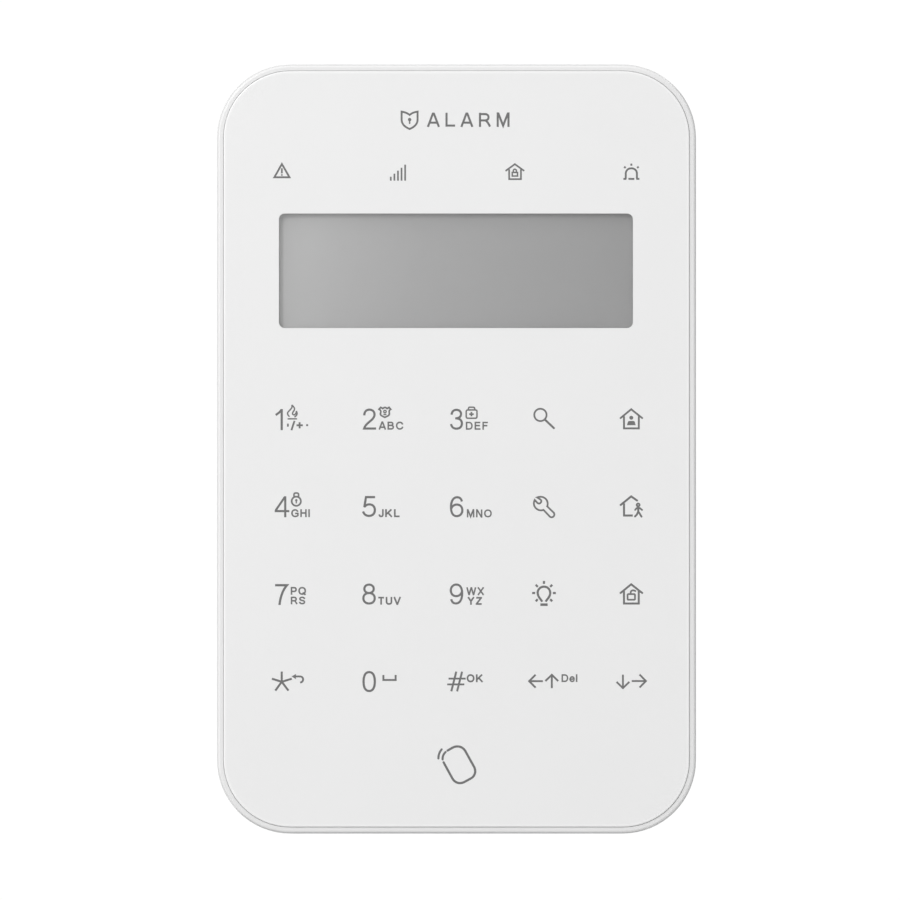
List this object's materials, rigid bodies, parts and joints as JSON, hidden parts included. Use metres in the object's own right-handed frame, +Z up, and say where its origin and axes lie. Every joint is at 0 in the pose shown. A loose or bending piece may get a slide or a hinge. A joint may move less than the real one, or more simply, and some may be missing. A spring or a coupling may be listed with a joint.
{
  "type": "wireless alarm keypad panel",
  "caption": "Slim wall-mounted alarm keypad: printed touch-key front, display window, tag reader mark, hooked on a mounting plate with tamper plunger.",
  "frame": {"origin": "centre of the mounting plate's face that lies on the wall", "axes": "+Z up the wall, +Y into the wall (the front faces -Y), +X to the right seen from the front"},
  "size_m": [0.105, 0.0235, 0.1686],
  "materials": {
    "housing_plastic": "fine-textured moulded ABS, white",
    "panel_plastic": "smooth satin white printed front",
    "plate_plastic": "textured moulded ABS, white",
    "window_clear": "clear hard-coated acrylic",
    "lcd": "grey polariser on display glass",
    "diffuser": "milky diffuser",
    "tray_plastic": "white reflective plastic",
    "adhesive": "thin foam tape",
    "gasket_foam": "black foam",
    "board": "green solder mask over glass fibre",
    "chip": "moulded epoxy",
    "copper": "bare plated copper",
    "light_guide": "clear frosted acrylic",
    "led_resin": "phosphor resin",
    "shield_metal": "tinned steel",
    "flex_film": "amber polyimide",
    "connector_plastic": "cream nylon",
    "capacitor_can": "brushed can",
    "switch_plastic": "black nylon",
    "cell_sleeve": "printed sleeve on a steel can",
    "contact_metal": "nickel-plated spring steel",
    "screw_metal": "zinc-plated steel",
    "sounder_plastic": "black moulded case",
    "sounder_brass": "brass disc",
    "legend_ink": "grey screen-printed ink"
  },
  "bodies": {
    "wall_plate": {"rear_mounting_plate": "plate_plastic", "lock_screw": "screw_metal"},
    "keypad": {"rear_housing": "housing_plastic", "front_housing": "housing_plastic", "front_panel": "panel_plastic", "panel_adhesive_tape": "adhesive", "display_window": "window_clear", "display_gasket": "gasket_foam", "lcd_glass": "lcd", "lcd_driver_chip": "chip", "backlight_tray": "tray_plastic", "backlight_diffuser": "diffuser", "lcd_flex_cable": "flex_film", "touch_board": "board", "key_light_guide": "light_guide", "key_leds": "led_resin", "touch_electrodes": "copper", "card_reader_coil": "copper", "touch_controller_chip": "chip", "main_board": "board", "processor_chip": "chip", "radio_board": "board", "radio_shield_can": "shield_metal", "radio_antenna": "copper", "crystal": "shield_metal", "capacitors": "capacitor_can", "power_switch_body": "switch_plastic", "status_leds": "led_resin", "indicator_light_pipes": "light_guide", "flex_connectors": "connector_plastic", "board_flex_cable": "flex_film", "battery_cells": "cell_sleeve", "battery_plate_contacts": "contact_metal", "battery_spring_contacts": "contact_metal", "sounder": "sounder_plastic", "sounder_disc": "sounder_brass", "tamper_switch": "switch_plastic", "tamper_spring": "contact_metal", "case_screws": "screw_metal", "board_screws": "screw_metal"},
    "tamper_plunger": {"tamper_plunger": "connector_plastic"},
    "power_switch_slider": {"power_switch_slider": "switch_plastic"}
  },
  "joints": [
    {"name": "keypad_lift", "type": "slide", "parent": "wall_plate", "child": "keypad", "axis": [0, 0, 1], "range_m": [0, 0.008]},
    {"name": "tamper_press", "type": "slide", "parent": "keypad", "child": "tamper_plunger", "axis": [0, 1, 0], "range_m": [-0.0008, 0.0016], "stiffness_N_per_m": 300, "springref_m": 0.0016, "deforming": ["tamper_spring"]},
    {"name": "power_switch", "type": "slide", "parent": "keypad", "child": "power_switch_slider", "axis": [-1, 0, 0], "range_m": [0, 0.002]}
  ]
}
